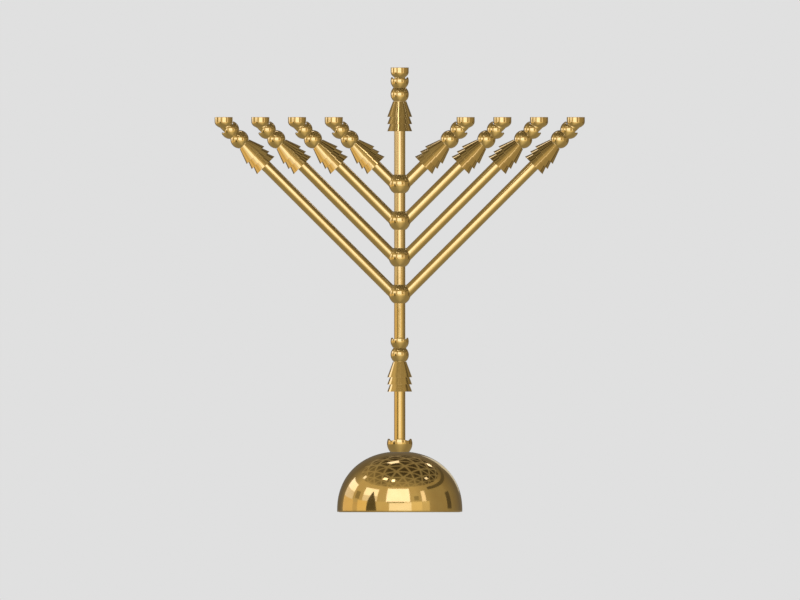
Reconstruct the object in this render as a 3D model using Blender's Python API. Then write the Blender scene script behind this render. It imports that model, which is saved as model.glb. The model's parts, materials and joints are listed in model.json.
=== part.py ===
"""A nine-light menorah of polished brass, built as an assembly of separate pieces.

Metres, +Z up. The origin is under the middle of the base, and the arms lie in the XZ plane.
A steel rod through the stem pulls the whole stack together, from the helper cup at the top to a nut
under the base weight. Each pair of arms is brazed to one ball, and swivels with it about the stem.
"""
import functools
import math

import bmesh
import bpy

# Fits
FIT = 0.0003                     # gap between two pieces that meet
MERGE = 0.000001                 # points closer than this are one point

# Tube and tie rod
TUBE_RADIUS = 0.00635
TUBE_WALL = 0.0011
ROD_RADIUS = 0.003
ROD_TAIL = 0.001                 # rod showing below its nut
ROD_GRIP = 0.010                 # rod length held in the helper cup

# Dome
DOME_RADIUS = 0.0709
DOME_RISE = 0.06665              # height of the curved part
DOME_SKIRT = 0.0018              # straight wall at the rim
DOME_POWER = 2.17                # 2 is an ellipse, more is fuller
DOME_WALL = 0.0016

# Base weight, felt and fasteners
FELT_THICKNESS = 0.0025
FELT_HOLE = 0.016
WEIGHT_WEB = 0.0072              # iron above the nut's pocket
WEIGHT_GAP = 0.0008              # between the iron and the dome
POCKET_RADIUS = 0.0125
POCKET_SPARE = 0.0015            # room below the end of the rod
WASHER_RADIUS = 0.009
WASHER_THICKNESS = 0.0015
NUT_ACROSS_FLATS = 0.010
NUT_HEIGHT = 0.005

# Collar on the crown
COLLAR_RADIUS = 0.0144
COLLAR_FOOT = 0.0110             # radius of its flat foot
COLLAR_RIM = 0.0054              # petal tips above the centre of the bowl
COLLAR_NOTCH = 0.0022            # depth of the notches between petals
COLLAR_WALL = 0.0018
COLLAR_FLOOR = 0.004             # floor of the bowl below its centre
COLLAR_WEB = 0.003               # material under the tube's end
CROWN_MARGIN = 0.0004            # flat crown beyond the foot

# Ornament: goblets, knop and flower
GOBLET_WALL = 0.0010             # at the top, outside the bore
GOBLET_RIM = 0.0141              # radius of each rim
GOBLET_FLARE = 0.01755           # height over which one goblet widens
GOBLET_PITCH = 0.00815           # from one rim to the next
GOBLET_COUNT = 3
GOBLET_LIP = 0.0013              # width of the lowest rim
GOBLET_HOLLOW = 0.003            # depth of the hollow under it
KNOP_RADIUS = 0.01036
NECK_WALL = 0.0004               # outside the bore, between knop and flower
FLOWER_RADIUS = 0.01036
FLOWER_RIM = 0.0042
FLOWER_NOTCH = 0.0017
FLOWER_WALL = 0.0014
FLOWER_FLOOR = 0.003
PETAL_POWER = 3                  # higher makes wider petals and narrower notches

# Candle cup
CUP_RADIUS = 0.01024
CUP_WALL = 0.0052                # height of the straight wall
CUP_BOWL = 0.0074                # depth of the round bottom
CUP_LIP = 0.0012
CUP_DISH = 0.0022                # depth of the dish around the candle
CUP_FLOOR = 0.0031
CANDLE_RADIUS = 0.0053
SPIGOT_LENGTH = 0.012            # under the helper cup, inside the tube

# Stem and arms
LOWER_STEM = 0.0533              # bare tube from the collar to the lower goblets
MIDDLE_STEM = 0.0389             # bare tube from the lower flower to the lowest ball
HELPER_STEM = 0.0490             # bare tube from the highest ball to the helper's goblets
HELPER_RIM_GAP = 0.0017          # between the helper cup and the flower it stands in
BALL_RADIUS = 0.01245
BALL_PITCH = 0.04156
BALL_SEAT = 0.0015               # how far a tube enters a ball
PAIR_COUNT = 4
ARM_TILT = math.radians(45)      # from the stem
ARM_INSET = 0.0017               # the ball's surface outside the arm's lower side
INNER_ARM_BARE = 0.0383          # shortest arm, from the stem's axis to its goblets
HORN_GAP = 0.0008                # between an arm's cup and the nearest petal
NECK_INSET = 0.0012              # the cup's surface outside the arm's lower side

# Facets
TUBE_SIDES = 16
BEAD_SIDES = 16
BALL_SIDES = 16
COLLAR_SIDES = 24
DOME_SIDES = 32
DOME_STEPS = 10                  # along an outline, as are the rest
GLOBE_STEPS = 5
PETAL_STEPS = 2
BOWL_STEPS = 4
BALL_STEPS = 7

# Sizes that follow from the ones above
TUBE_BORE = TUBE_RADIUS - TUBE_WALL
TUBE_HOLE = TUBE_RADIUS + FIT
ROD_HOLE = ROD_RADIUS + FIT
TILT_SIN = math.sin(ARM_TILT)
TILT_COS = math.cos(ARM_TILT)
SIDES = {"right": 0.0, "left": math.pi}


def leg(long_side, short_side):
    """Third side of a right triangle, from its longest side and another."""
    return math.sqrt(long_side ** 2 - short_side ** 2)


def globe(radius, centre, top, bottom, steps):
    """Outline points on a sphere, between two heights counted from its centre."""
    first = math.asin(top / radius)
    last = math.asin(bottom / radius)
    points = []
    for step in range(steps + 1):
        angle = first + (last - first) * step / steps
        points.append((radius * math.cos(angle), centre + radius * math.sin(angle)))
    return points


def material(name, color, roughness, metallic):
    made = bpy.data.materials.new(name)
    made.use_nodes = True
    shader = made.node_tree.nodes["Principled BSDF"]
    shader.inputs["Base Color"].default_value = (*color, 1.0)
    shader.inputs["Roughness"].default_value = roughness
    shader.inputs["Metallic"].default_value = metallic
    return made


def turn(name, outline_at, sides, finish):
    """Mesh swept about Z. outline_at(angle) gives its closed outline of (radius, height) points there."""
    shape = bmesh.new()
    columns = []
    for side in range(sides):
        angle = 2 * math.pi * side / sides
        column = []
        for radius, height in outline_at(angle):
            point = (radius * math.cos(angle), radius * math.sin(angle), height)
            column.append(shape.verts.new(point))
        columns.append(column)
    for near, far in zip(columns, columns[1:] + columns[:1]):
        for low in range(len(near)):
            high = (low + 1) % len(near)
            shape.faces.new((near[low], near[high], far[high], far[low]))
    bmesh.ops.remove_doubles(shape, verts=shape.verts, dist=MERGE)
    bmesh.ops.recalc_face_normals(shape, faces=shape.faces)
    mesh = bpy.data.meshes.new(name)
    shape.to_mesh(mesh)
    shape.free()
    mesh.shade_smooth()
    mesh.set_sharp_from_angle(angle=math.radians(35))
    mesh.materials.append(finish)
    return mesh


def place(name, mesh, parent=None, location=(0, 0, 0), rotation=(0, 0, 0)):
    piece = bpy.data.objects.new(name, mesh)
    piece.location = location
    piece.rotation_euler = rotation
    piece.parent = parent
    bpy.context.scene.collection.objects.link(piece)
    return piece


# Dome

SKIRT_TOP = FIT + DOME_SKIRT


def dome_height(radius, inset=0.0):
    share = radius / (DOME_RADIUS - inset)
    return SKIRT_TOP + (DOME_RISE - inset) * (1 - share ** DOME_POWER) ** (1 / DOME_POWER)


def dome_radius(height, inset=0.0):
    share = (height - SKIRT_TOP) / (DOME_RISE - inset)
    return (DOME_RADIUS - inset) * (1 - share ** DOME_POWER) ** (1 / DOME_POWER)


CROWN_RADIUS = COLLAR_FOOT + CROWN_MARGIN
CROWN_HEIGHT = dome_height(CROWN_RADIUS)
CROWN_UNDERSIDE = CROWN_HEIGHT - DOME_WALL
CROWN_INSIDE = dome_radius(CROWN_UNDERSIDE, DOME_WALL)


def dome_curve(inset, crown_radius, steps):
    """Outline points of the dome's curve, from the flat crown down to the skirt."""
    first = math.acos((crown_radius / (DOME_RADIUS - inset)) ** (DOME_POWER / 2))
    points = []
    for step in range(steps + 1):
        angle = first * (1 - step / steps)
        radius = (DOME_RADIUS - inset) * math.cos(angle) ** (2 / DOME_POWER)
        height = SKIRT_TOP + (DOME_RISE - inset) * math.sin(angle) ** (2 / DOME_POWER)
        points.append((radius, height))
    return points


def dome_outline(angle):
    outside = dome_curve(0.0, CROWN_RADIUS, DOME_STEPS)
    inside = dome_curve(DOME_WALL, CROWN_INSIDE, DOME_STEPS)
    rim = [(DOME_RADIUS, FIT), (DOME_RADIUS - DOME_WALL, FIT)]
    hole = [(ROD_HOLE, CROWN_UNDERSIDE), (ROD_HOLE, CROWN_HEIGHT)]
    return outside + rim + inside[::-1] + hole


# Weight, felt and fasteners, stacked up from the surface that the part stands on

WEIGHT_BOTTOM = FELT_THICKNESS + FIT
POCKET_TOP = WEIGHT_BOTTOM + POCKET_SPARE + ROD_TAIL + NUT_HEIGHT + WASHER_THICKNESS + 2 * FIT
WEIGHT_TOP = POCKET_TOP + WEIGHT_WEB
WEIGHT_RADIUS = dome_radius(WEIGHT_TOP, DOME_WALL) - WEIGHT_GAP
POST_RADIUS = CROWN_INSIDE - WEIGHT_GAP
FELT_RADIUS = DOME_RADIUS - DOME_WALL - WEIGHT_GAP
WASHER_TOP = POCKET_TOP - FIT
NUT_TOP = WASHER_TOP - WASHER_THICKNESS - FIT
ROD_BOTTOM = NUT_TOP - NUT_HEIGHT - ROD_TAIL


def ring(inner, outer, bottom, top):
    """Outline of a plain ring."""
    return [(outer, top), (outer, bottom), (inner, bottom), (inner, top)]


def weight_outline(angle):
    post = [(ROD_HOLE, CROWN_UNDERSIDE - FIT), (POST_RADIUS, CROWN_UNDERSIDE - FIT)]
    disc = [(POST_RADIUS, WEIGHT_TOP), (WEIGHT_RADIUS, WEIGHT_TOP), (WEIGHT_RADIUS, WEIGHT_BOTTOM)]
    pocket = [(POCKET_RADIUS, WEIGHT_BOTTOM), (POCKET_RADIUS, POCKET_TOP), (ROD_HOLE, POCKET_TOP)]
    return post + disc + pocket


def nut_outline(angle):
    sixth = math.pi / 3
    from_flat = (angle + sixth / 2) % sixth - sixth / 2
    return ring(ROD_HOLE, NUT_ACROSS_FLATS / 2 / math.cos(from_flat), NUT_TOP - NUT_HEIGHT, NUT_TOP)


# Flowers

def petal_tip(angle, rim, notch):
    """Height of a flower's rim above its centre: four petals, with notches between them."""
    return rim - notch * abs(math.sin(2 * angle)) ** PETAL_POWER


def flower_bowl(angle, radius, wall, rim, notch, floor, bottom, centre):
    """Outline of a petalled bowl, from its floor over the rim and down its outside."""
    tip = petal_tip(angle, rim, notch)
    inside = globe(radius - wall, centre, -floor, tip, PETAL_STEPS)
    outside = globe(radius, centre, tip, bottom, GLOBE_STEPS)
    return inside + outside


COLLAR_BOTTOM = CROWN_HEIGHT + FIT
COLLAR_DROP = leg(COLLAR_RADIUS, COLLAR_FOOT)
COLLAR_CENTRE = COLLAR_BOTTOM + COLLAR_DROP
COLLAR_SOCKET = COLLAR_BOTTOM + COLLAR_WEB


def collar_outline(angle):
    bowl = flower_bowl(angle, COLLAR_RADIUS, COLLAR_WALL, COLLAR_RIM, COLLAR_NOTCH, COLLAR_FLOOR,
                       -COLLAR_DROP, COLLAR_CENTRE)
    rod_hole = [(ROD_HOLE, COLLAR_BOTTOM), (ROD_HOLE, COLLAR_SOCKET)]
    socket = [(TUBE_HOLE, COLLAR_SOCKET), (TUBE_HOLE, COLLAR_CENTRE - COLLAR_FLOOR)]
    return bowl + rod_hole + socket


# Ornament beads, with the origin on the tube's axis at the lowest goblet rim

GOBLET_TOP = GOBLET_FLARE + (GOBLET_COUNT - 1) * GOBLET_PITCH
GOBLET_NECK = TUBE_HOLE + GOBLET_WALL
NECK_RADIUS = TUBE_HOLE + NECK_WALL
KNOP_HALF = leg(KNOP_RADIUS, NECK_RADIUS)
FLOWER_HALF = leg(FLOWER_RADIUS, NECK_RADIUS)
KNOP_CENTRE = GOBLET_TOP + FIT + KNOP_HALF
FLOWER_CENTRE = KNOP_CENTRE + KNOP_HALF + FLOWER_HALF
ORNAMENT_TOP = FLOWER_CENTRE + FLOWER_RIM


def goblets_outline(angle):
    slope = (GOBLET_RIM - GOBLET_NECK) / GOBLET_FLARE
    points = [(TUBE_HOLE, GOBLET_TOP), (GOBLET_NECK, GOBLET_TOP)]
    for tier in range(GOBLET_COUNT):
        rim = GOBLET_TOP - GOBLET_FLARE - tier * GOBLET_PITCH
        points.append((GOBLET_RIM, rim))
        if tier < GOBLET_COUNT - 1:
            points.append((GOBLET_RIM - slope * GOBLET_PITCH, rim))
    points.append((GOBLET_RIM - GOBLET_LIP, 0.0))
    points.append((GOBLET_NECK, GOBLET_HOLLOW))
    points.append((TUBE_HOLE, GOBLET_HOLLOW))
    return points


def knop_flower_outline(angle):
    bowl = flower_bowl(angle, FLOWER_RADIUS, FLOWER_WALL, FLOWER_RIM, FLOWER_NOTCH, FLOWER_FLOOR,
                       -FLOWER_HALF, FLOWER_CENTRE)
    knop = globe(KNOP_RADIUS, KNOP_CENTRE, KNOP_HALF, -KNOP_HALF, GLOBE_STEPS)
    bore = [(TUBE_HOLE, KNOP_CENTRE - KNOP_HALF), (TUBE_HOLE, FLOWER_CENTRE - FLOWER_FLOOR)]
    return bowl + knop[1:] + bore


# Candle cups, with the origin on the cup's axis at the lower end of its straight wall

CANDLE_BOTTOM = CUP_FLOOR - CUP_BOWL


def bowl_points(least_radius, steps):
    """Outline points of the cup's round bottom, from its wall in to a radius."""
    last = math.acos(least_radius / CUP_RADIUS)
    points = []
    for step in range(steps + 1):
        angle = last * step / steps
        points.append((CUP_RADIUS * math.cos(angle), -CUP_BOWL * math.sin(angle)))
    return points


def cup_mouth():
    """Outline points from the candle hole's floor over the dish to the rim."""
    hole = [(0.0, CANDLE_BOTTOM), (CANDLE_RADIUS, CANDLE_BOTTOM), (CANDLE_RADIUS, CUP_WALL - CUP_DISH)]
    lip = [(CUP_RADIUS - CUP_LIP, CUP_WALL), (CUP_RADIUS, CUP_WALL)]
    return hole + lip


def arm_cup_outline(angle):
    return cup_mouth() + bowl_points(0.0, BOWL_STEPS)


SPIGOT_RADIUS = TUBE_BORE - FIT
SPIGOT_BOTTOM = -CUP_BOWL - SPIGOT_LENGTH
ROD_END = SPIGOT_BOTTOM + ROD_GRIP


def helper_cup_outline(angle):
    spigot = [(SPIGOT_RADIUS, SPIGOT_BOTTOM), (ROD_HOLE, SPIGOT_BOTTOM)]
    rod_hole = [(ROD_HOLE, ROD_END + FIT), (0.0, ROD_END + FIT)]
    return cup_mouth() + bowl_points(SPIGOT_RADIUS, BOWL_STEPS) + spigot + rod_hole


# Heights up the stem

BALL_HALF = leg(BALL_RADIUS, TUBE_HOLE)
BALL_SOCKET = BALL_HALF - BALL_SEAT
LOWER_ORNAMENT = COLLAR_CENTRE + COLLAR_RIM + LOWER_STEM
LOWEST_BALL = LOWER_ORNAMENT + ORNAMENT_TOP + MIDDLE_STEM + BALL_HALF
BALL_HEIGHTS = [LOWEST_BALL + index * BALL_PITCH for index in range(PAIR_COUNT)]
HELPER_ORNAMENT = BALL_HEIGHTS[-1] + BALL_HALF + HELPER_STEM
FLOWER_MOUTH = leg(FLOWER_RADIUS - FLOWER_WALL, FLOWER_RIM)
HELPER_CUP_LIFT = CUP_BOWL * leg(1.0, (FLOWER_MOUTH - HELPER_RIM_GAP) / CUP_RADIUS)
HELPER_CUP = HELPER_ORNAMENT + ORNAMENT_TOP + HELPER_CUP_LIFT

# Places along the arms, counted from the point where an arm's axis meets the stem's

ARM_DROP = (BALL_RADIUS - ARM_INSET - TUBE_RADIUS) / TILT_SIN
PETAL_REACH = leg(FLOWER_RADIUS, FLOWER_RIM)
FLOWER_TO_CUP = FLOWER_RIM + (CUP_RADIUS + HORN_GAP - PETAL_REACH * TILT_COS) / TILT_SIN
CUP_SUPPORT = math.hypot(CUP_RADIUS * TILT_COS, CUP_BOWL * TILT_SIN)
CUP_LIFT = (CUP_SUPPORT - TUBE_RADIUS - NECK_INSET) / TILT_SIN
INNER_ARM = INNER_ARM_BARE + FLOWER_CENTRE + FLOWER_TO_CUP


def ball_outline(angle):
    outside = globe(BALL_RADIUS, 0.0, BALL_HALF, -BALL_HALF, BALL_STEPS)
    lower_socket = [(TUBE_HOLE, -BALL_SOCKET), (ROD_HOLE, -BALL_SOCKET)]
    upper_socket = [(ROD_HOLE, BALL_SOCKET), (TUBE_HOLE, BALL_SOCKET)]
    return outside + lower_socket + upper_socket


def arm_start(across, aside):
    """Where the line along an arm at (across, aside) from its axis leaves the ball and the stem."""
    ball_across = -ARM_DROP * TILT_SIN
    ball_along = ARM_DROP * TILT_COS
    clear = BALL_RADIUS + FIT
    leaves_ball = ball_along + math.sqrt(clear ** 2 - (across - ball_across) ** 2 - aside ** 2)
    leaves_stem = (leg(TUBE_HOLE, aside) - across * TILT_COS) / TILT_SIN
    return max(leaves_ball, leaves_stem)


def arm_end(across, aside, arm_length):
    """Where the line along an arm at (across, aside) from its axis meets the outside of its cup."""
    cup_across = -CUP_LIFT * TILT_SIN
    cup_along = arm_length + CUP_LIFT * TILT_COS
    level = (across - cup_across) * TILT_COS
    rise = -(across - cup_across) * TILT_SIN
    wide = CUP_RADIUS + FIT
    deep = CUP_BOWL + FIT
    square = (TILT_SIN / wide) ** 2 + (TILT_COS / deep) ** 2
    half = level * TILT_SIN / wide ** 2 + rise * TILT_COS / deep ** 2
    rest = (level ** 2 + aside ** 2) / wide ** 2 + (rise / deep) ** 2 - 1
    along = (-half - math.sqrt(half ** 2 - square * rest)) / square
    meets_wall = rise + along * TILT_COS > 0
    if meets_wall:
        along = (-leg(wide, aside) - level) / TILT_SIN
    return cup_along + along


def arm_tube_outline(angle, arm_length):
    points = []
    for radius, ends in ((TUBE_RADIUS, ("top", "bottom")), (TUBE_BORE, ("bottom", "top"))):
        across = radius * math.cos(angle)
        aside = radius * math.sin(angle)
        for end in ends:
            if end == "top":
                points.append((radius, arm_end(across, aside, arm_length)))
            else:
                points.append((radius, arm_start(across, aside)))
    return points


def upper_tube_outline(angle):
    """The tube under the helper cup: square below, shaped to the cup's round bottom above."""
    bottom = BALL_HEIGHTS[-1] + BALL_SOCKET + FIT
    ends = []
    for radius in (TUBE_RADIUS, TUBE_BORE):
        ends.append(HELPER_CUP - (CUP_BOWL + FIT) * leg(1.0, radius / (CUP_RADIUS + FIT)))
    return [(TUBE_RADIUS, ends[0]), (TUBE_RADIUS, bottom), (TUBE_BORE, bottom), (TUBE_BORE, ends[1])]


# Assembly

def build_base(brass, iron, steel, felt):
    place("dome_shell", turn("dome_shell", dome_outline, DOME_SIDES, brass))
    place("base_weight", turn("base_weight", weight_outline, DOME_SIDES, iron))
    pad = ring(FELT_HOLE, FELT_RADIUS, 0.0, FELT_THICKNESS)
    place("felt_pad", turn("felt_pad", lambda angle: pad, DOME_SIDES, felt))
    washer = ring(ROD_HOLE, WASHER_RADIUS, WASHER_TOP - WASHER_THICKNESS, WASHER_TOP)
    place("base_washer", turn("base_washer", lambda angle: washer, TUBE_SIDES, steel))
    place("base_nut", turn("base_nut", nut_outline, COLLAR_SIDES, steel))
    place("base_flower", turn("base_flower", collar_outline, COLLAR_SIDES, brass))
    rod = ring(0.0, ROD_RADIUS, ROD_BOTTOM, HELPER_CUP + ROD_END)
    place("tie_rod", turn("tie_rod", lambda angle: rod, TUBE_SIDES, steel))


def build_stem(brass, goblets, knop_flower):
    bottoms = [COLLAR_SOCKET + FIT] + [height + BALL_SOCKET + FIT for height in BALL_HEIGHTS[:-1]]
    names = ["stem_tube_lower"] + [f"stem_spacer_{number}" for number in range(1, PAIR_COUNT)]
    for name, bottom, ball_height in zip(names, bottoms, BALL_HEIGHTS):
        tube = ring(TUBE_BORE, TUBE_RADIUS, bottom, ball_height - BALL_SOCKET - FIT)
        place(name, turn(name, lambda angle: tube, TUBE_SIDES, brass))
    place("stem_tube_upper", turn("stem_tube_upper", upper_tube_outline, TUBE_SIDES, brass))
    for name, height in (("lower", LOWER_ORNAMENT), ("helper", HELPER_ORNAMENT)):
        place(f"{name}_goblets", goblets, location=(0, 0, height))
        place(f"{name}_knop_flower", knop_flower, location=(0, 0, height))
    cup = turn("helper_cup", helper_cup_outline, BEAD_SIDES, brass)
    place("helper_cup", cup, location=(0, 0, HELPER_CUP))


def build_arms(brass, goblets, knop_flower):
    ball = turn("arm_ball", ball_outline, BALL_SIDES, brass)
    cup = turn("arm_cup", arm_cup_outline, BEAD_SIDES, brass)
    for index, ball_height in enumerate(BALL_HEIGHTS):
        number = index + 1
        arm_length = INNER_ARM + (PAIR_COUNT - number) * BALL_PITCH / TILT_COS
        outline = functools.partial(arm_tube_outline, arm_length=arm_length)
        tube = turn(f"arm_{number}_tube", outline, TUBE_SIDES, brass)
        swivel = place(f"arm_pair_{number}", None, location=(0, 0, ball_height))
        place(f"arm_{number}_ball", ball, swivel)
        for side, turned in SIDES.items():
            arm = f"arm_{number}_{side}"
            axis = place(f"{arm}_axis", None, swivel, (0, 0, -ARM_DROP), (0, ARM_TILT, turned))
            place(f"{arm}_tube", tube, axis)
            bead_place = (0, 0, arm_length - FLOWER_TO_CUP - FLOWER_CENTRE)
            place(f"{arm}_goblets", goblets, axis, bead_place)
            place(f"{arm}_knop_flower", knop_flower, axis, bead_place)
            reach = arm_length * TILT_SIN * math.cos(turned)
            cup_height = arm_length * TILT_COS - ARM_DROP + CUP_LIFT
            place(f"{arm}_cup", cup, swivel, (reach, 0, cup_height))


def main():
    for old in list(bpy.data.objects):
        bpy.data.objects.remove(old)
    brass = material("polished_brass", (0.90, 0.64, 0.23), 0.12, 1.0)
    iron = material("cast_iron", (0.05, 0.05, 0.05), 0.65, 1.0)
    steel = material("zinc_steel", (0.60, 0.60, 0.58), 0.30, 1.0)
    felt = material("green_felt", (0.03, 0.10, 0.05), 0.95, 0.0)
    goblets = turn("goblets", goblets_outline, BEAD_SIDES, brass)
    knop_flower = turn("knop_flower", knop_flower_outline, BEAD_SIDES, brass)
    build_base(brass, iron, steel, felt)
    build_stem(brass, goblets, knop_flower)
    build_arms(brass, goblets, knop_flower)


main()
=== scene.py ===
"""The looks of a polished brass menorah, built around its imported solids.

Metres, +Z up. Each piece is turned again with fine curves and softened edges, in the place of its solid.
The camera looks along +Y without perspective. Two soft lamps light the floor, and the brass mirrors a room
of bright and dark sheets that only reflections show.
"""

import functools
import json
import math

import bmesh
import bpy
from mathutils import Matrix, Vector


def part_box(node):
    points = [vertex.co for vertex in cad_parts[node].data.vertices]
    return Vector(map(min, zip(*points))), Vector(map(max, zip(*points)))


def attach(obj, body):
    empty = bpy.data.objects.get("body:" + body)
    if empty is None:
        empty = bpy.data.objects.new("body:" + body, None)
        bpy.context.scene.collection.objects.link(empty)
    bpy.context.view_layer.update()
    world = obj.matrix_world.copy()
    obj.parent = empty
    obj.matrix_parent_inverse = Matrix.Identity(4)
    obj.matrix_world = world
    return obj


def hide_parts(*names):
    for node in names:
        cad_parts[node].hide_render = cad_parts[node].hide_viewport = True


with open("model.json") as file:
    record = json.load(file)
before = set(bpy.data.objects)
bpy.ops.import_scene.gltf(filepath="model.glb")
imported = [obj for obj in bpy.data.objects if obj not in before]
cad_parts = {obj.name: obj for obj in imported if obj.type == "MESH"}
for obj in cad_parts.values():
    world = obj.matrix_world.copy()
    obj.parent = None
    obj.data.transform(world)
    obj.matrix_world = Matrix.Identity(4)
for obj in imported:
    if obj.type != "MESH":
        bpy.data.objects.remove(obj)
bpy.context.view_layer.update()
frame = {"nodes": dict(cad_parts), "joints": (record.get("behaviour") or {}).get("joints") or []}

# Fits and walls
FIT = 0.0003                     # gap between two pieces that meet
TUBE_WALL = 0.0011
EDGE = 0.0004                    # usual softening of an edge
FINE_EDGE = 0.0002
CRISP_EDGE = 0.00006             # of the goblets' rims

# Dome
DOME_RISE = 0.06665              # of the full curve above the skirt
DOME_SKIRT = 0.0018              # straight foot of the dome
DOME_POWER = 2.17                # fullness of the curve, where 2 is an ellipse
DOME_WALL = 0.0016

# Base weight and fasteners
WEIGHT_WEB = 0.0072              # from the pocket's roof to the top of the disc
WEIGHT_GAP = 0.0008              # between the post and the curve of the dome
POCKET_RADIUS = 0.0125
CAST_EDGE = 0.0015
NUT_FLAT = 0.0050                # from the axis to a flat
NUT_FACE = 0.0047                # radius at which the chamfer of the nut starts
NUT_CHAMFER = math.tan(math.radians(30))
THREAD_PITCH = 0.001
THREAD_DEPTH = 0.0005
THREAD_BELOW = 0.024             # threaded length at the lower end of the rod
THREAD_ABOVE = 0.014
THREAD_STEPS = 8                 # points along one pitch

# Collar on the crown
COLLAR_RADIUS = 0.0144
COLLAR_FOOT = 0.0110
COLLAR_NOTCH = 0.0022            # depth of the cuts between its petals
COLLAR_WALL = 0.0018
COLLAR_FLOOR = 0.004             # of the bowl below the centre of its ball form
COLLAR_WEB = 0.003               # under the socket of the lowest tube
CROWN_MARGIN = 0.0004            # of the flat crown around the collar's foot

# Ornament: goblets, knop and flower
GOBLET_WALL = 0.0010
GOBLET_FLARE = 0.01755           # height of one skirt
GOBLET_PITCH = 0.00815
GOBLET_COUNT = 3
GOBLET_LIP = 0.0013
GOBLET_HOLLOW = 0.003
KNOP_RADIUS = 0.01036
NECK_WALL = 0.0004
FLOWER_RADIUS = 0.01036
FLOWER_RIM = 0.0042              # of the petals' tips above the flower's centre
FLOWER_NOTCH = 0.0017
FLOWER_WALL = 0.0014
FLOWER_FLOOR = 0.003
PETAL_POWER = 3                  # sharpness of the cuts between petals

# Candle cup
CUP_WALL = 0.0052                # height of the straight wall
CUP_BOWL = 0.0074                # depth of the bowl under the wall
CUP_LIP = 0.0012
CUP_DISH = 0.0022                # drop of the mouth from the lip to the candle's hole
CUP_FLOOR = 0.0031
CANDLE_RADIUS = 0.0053
SPIGOT_LENGTH = 0.012
ROD_GRIP = 0.010

# Balls and arms
BALL_RADIUS = 0.01245
BALL_SEAT = 0.0015               # depth of the stem tubes in a ball
ARM_TILT = math.radians(45)
ARM_INSET = 0.0017               # of an arm's tube inside the outline of its ball
HORN_GAP = 0.0008                # between a cup and the petals under it
BRAZE = 0.0006                   # size of the brazed fillet at an arm's two ends
BRAZE_SINK = 0.0008              # how far the arm's skin runs into the ball and the cup

# Steps along an outline and around it
ROUND_STEPS = 18
DOME_STEPS = 56
EDGE_STEPS = 4
BRAZE_STEPS = 5
SIDES = 96
DOME_SIDES = 160
ROD_SIDES = 48
MERGE_DISTANCE = 0.0000001       # closes the points of an outline that lie on the axis
SHARP_ANGLE = math.radians(40)

# Sizes and places read from the frame
TUBE_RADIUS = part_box("stem_tube_lower")[1].x
TUBE_BORE = TUBE_RADIUS - TUBE_WALL
TUBE_HOLE = TUBE_RADIUS + FIT
ROD_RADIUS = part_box("tie_rod")[1].x
ROD_HOLE = ROD_RADIUS + FIT
GOBLET_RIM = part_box("lower_goblets")[1].x
CUP_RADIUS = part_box("helper_cup")[1].x
TILT_SIN = math.sin(ARM_TILT)
TILT_COS = math.cos(ARM_TILT)


# Outlines: closed lists of (radius, height) points about the Z axis, at an angle around it

def leg(long_side, short_side):
    """Third side of a right triangle, from its longest side and another."""
    return math.sqrt(long_side ** 2 - short_side ** 2)


def globe(radius, centre, top, bottom):
    """Points on a sphere, between two heights counted from its centre."""
    first = math.asin(top / radius)
    last = math.asin(bottom / radius)
    points = []
    for step in range(ROUND_STEPS + 1):
        angle = first + (last - first) * step / ROUND_STEPS
        points.append((radius * math.cos(angle), centre + radius * math.sin(angle)))
    return points


def soften(corners):
    """Closed outline with rounded corners. A corner is (radius, height) or (radius, height, rounding)."""
    points = []
    for index, corner in enumerate(corners):
        here = Vector(corner[:2])
        if len(corner) == 2:
            points.append(tuple(here))
            continue
        before = Vector(corners[index - 1][:2])
        after = Vector(corners[(index + 1) % len(corners)][:2])
        start = here + (before - here).normalized() * corner[2]
        end = here + (after - here).normalized() * corner[2]
        for step in range(EDGE_STEPS + 1):
            share = step / EDGE_STEPS
            curve = start * (1 - share) ** 2 + here * (2 * share * (1 - share)) + end * share ** 2
            points.append(tuple(curve))
    return points


def ring(inner, outer, bottom, top, rounding=FINE_EDGE):
    """Outline of a tube or a ring, as a function that gives the same outline at every angle."""
    outline = soften([(outer, top, rounding), (outer, bottom, rounding), (inner, bottom, rounding),
                      (inner, top, rounding)])
    return lambda angle: outline


def crown_inside():
    """Radius of the flat underside of the dome's crown."""
    low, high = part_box("dome_shell")
    share = (high.z - DOME_WALL - low.z - DOME_SKIRT) / (DOME_RISE - DOME_WALL)
    return (high.x - DOME_WALL) * (1 - share ** DOME_POWER) ** (1 / DOME_POWER)


def dome_outline(angle):
    low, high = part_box("dome_shell")
    skirt_top = low.z + DOME_SKIRT
    underside = high.z - DOME_WALL

    def curve(inset, crown_radius):
        """Points from the flat crown down to the skirt, inset from the outside of the dome."""
        first = math.acos((crown_radius / (high.x - inset)) ** (DOME_POWER / 2))
        points = []
        for step in range(DOME_STEPS + 1):
            rising = first * (1 - step / DOME_STEPS)
            radius = (high.x - inset) * math.cos(rising) ** (2 / DOME_POWER)
            height = skirt_top + (DOME_RISE - inset) * math.sin(rising) ** (2 / DOME_POWER)
            points.append((radius, height))
        return points

    outside = curve(0.0, COLLAR_FOOT + CROWN_MARGIN)
    inside = curve(DOME_WALL, crown_inside())
    rim = [(high.x, low.z, EDGE), (high.x - DOME_WALL, low.z, EDGE)]
    hole = [(ROD_HOLE, underside), (ROD_HOLE, high.z)]
    return soften(outside + rim + inside[::-1] + hole)


def flower_bowl(angle, radius, wall, rim, notch, floor, bottom, centre):
    """Corners of a bowl with four petals, from its floor over the rounded rim and down its outside."""
    tip = rim - notch * abs(math.sin(2 * angle)) ** PETAL_POWER
    inside = globe(radius - wall, centre, -floor, tip)
    outside = globe(radius, centre, tip, bottom)
    inside[-1] += (EDGE,)
    outside[0] += (EDGE,)
    return inside + outside


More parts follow.
